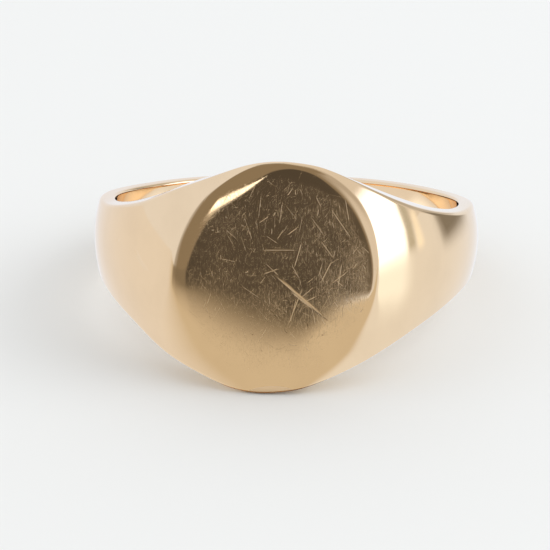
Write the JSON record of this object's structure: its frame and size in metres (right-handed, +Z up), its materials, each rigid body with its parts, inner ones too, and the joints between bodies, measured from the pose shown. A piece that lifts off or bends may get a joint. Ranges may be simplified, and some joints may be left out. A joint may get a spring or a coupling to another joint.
{
  "type": "signet ring",
  "caption": "Plain signet ring: a round-bodied band that swells through tapering shoulders into an upright oval, slightly domed blank face.",
  "frame": {"origin": "on the table that the ring lies on, under the middle of its outline", "axes": "+Z up from the table; -Y towards the side that the signet face points to; +X to the right when the face is looked at. The ring lies on its side, so its bore axis leans 13.3 degrees from +Z towards +Y."},
  "size_m": [0.0208, 0.0226, 0.0121],
  "materials": {
    "polished_gold": "polished rose-tinted yellow gold, 9 carat, finely scratched from wear",
    "gold_solder": "gold solder, slightly paler than the ring, filed flush and polished"
  },
  "bodies": {
    "root": {"signet_table": "polished_gold", "head_block": "polished_gold", "left_shoulder": "polished_gold", "right_shoulder": "polished_gold", "left_shank": "polished_gold", "right_shank": "polished_gold", "back_solder_seam": "gold_solder"}
  },
  "joints": []
}
